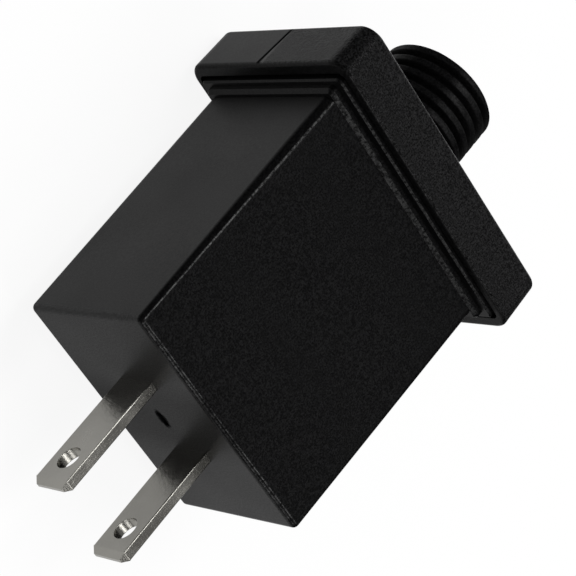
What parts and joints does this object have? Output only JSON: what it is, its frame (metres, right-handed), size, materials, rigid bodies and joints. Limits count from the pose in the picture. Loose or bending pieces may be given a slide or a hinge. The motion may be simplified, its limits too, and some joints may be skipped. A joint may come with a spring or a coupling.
{
  "type": "plug-in power transformer",
  "caption": "Small drafted plastic plug-in power supply with flat contact blades, a skirted end cap and a threaded low-voltage outlet socket.",
  "frame": {"origin": "centre of the prong face, the flat face that meets the wall", "axes": "+X runs from the prong face to the threaded outlet, the blades point to -X and stand side by side along Y, and +Z is out of the grained broad face"},
  "size_m": [0.0801, 0.046, 0.031],
  "materials": {
    "housing_plastic": "semi-gloss black sides, fine grained broad faces",
    "cap_plastic": "fine grained black moulding",
    "blade_metal": "nickel plated, satin",
    "carrier_plastic": "moulded",
    "board_laminate": "paper laminate",
    "lead_jacket": "smooth insulation",
    "contact_metal": "tin plated",
    "insert_plastic": "moulded",
    "ferrite": "sintered, ground at the joint",
    "bobbin_plastic": "moulded",
    "enamelled_wire": "enamelled copper",
    "polyester_tape": "yellow film",
    "capacitor_sleeve": "shrunk sleeve",
    "resistor_coat": "flameproof coat",
    "moulded_epoxy": "moulded epoxy",
    "disc_coat": "dipped coat"
  },
  "bodies": {
    "root": {"housing_body": "housing_plastic", "end_cap": "cap_plastic", "line_blade": "blade_metal", "neutral_blade": "blade_metal", "blade_carrier": "carrier_plastic", "circuit_board": "board_laminate", "line_lead": "lead_jacket", "neutral_lead": "lead_jacket", "positive_lead": "lead_jacket", "negative_lead": "lead_jacket", "positive_contact": "contact_metal", "negative_contact": "contact_metal", "socket_insert": "insert_plastic", "front_core_half": "ferrite", "rear_core_half": "ferrite", "bobbin": "bobbin_plastic", "primary_winding": "enamelled_wire", "secondary_winding": "enamelled_wire", "winding_tape": "polyester_tape", "input_capacitor": "capacitor_sleeve", "output_capacitor": "capacitor_sleeve", "fuse_resistor": "resistor_coat", "output_diode": "moulded_epoxy", "safety_capacitor": "disc_coat", "bridge_rectifier": "moulded_epoxy", "switching_controller": "moulded_epoxy"}
  },
  "joints": []
}
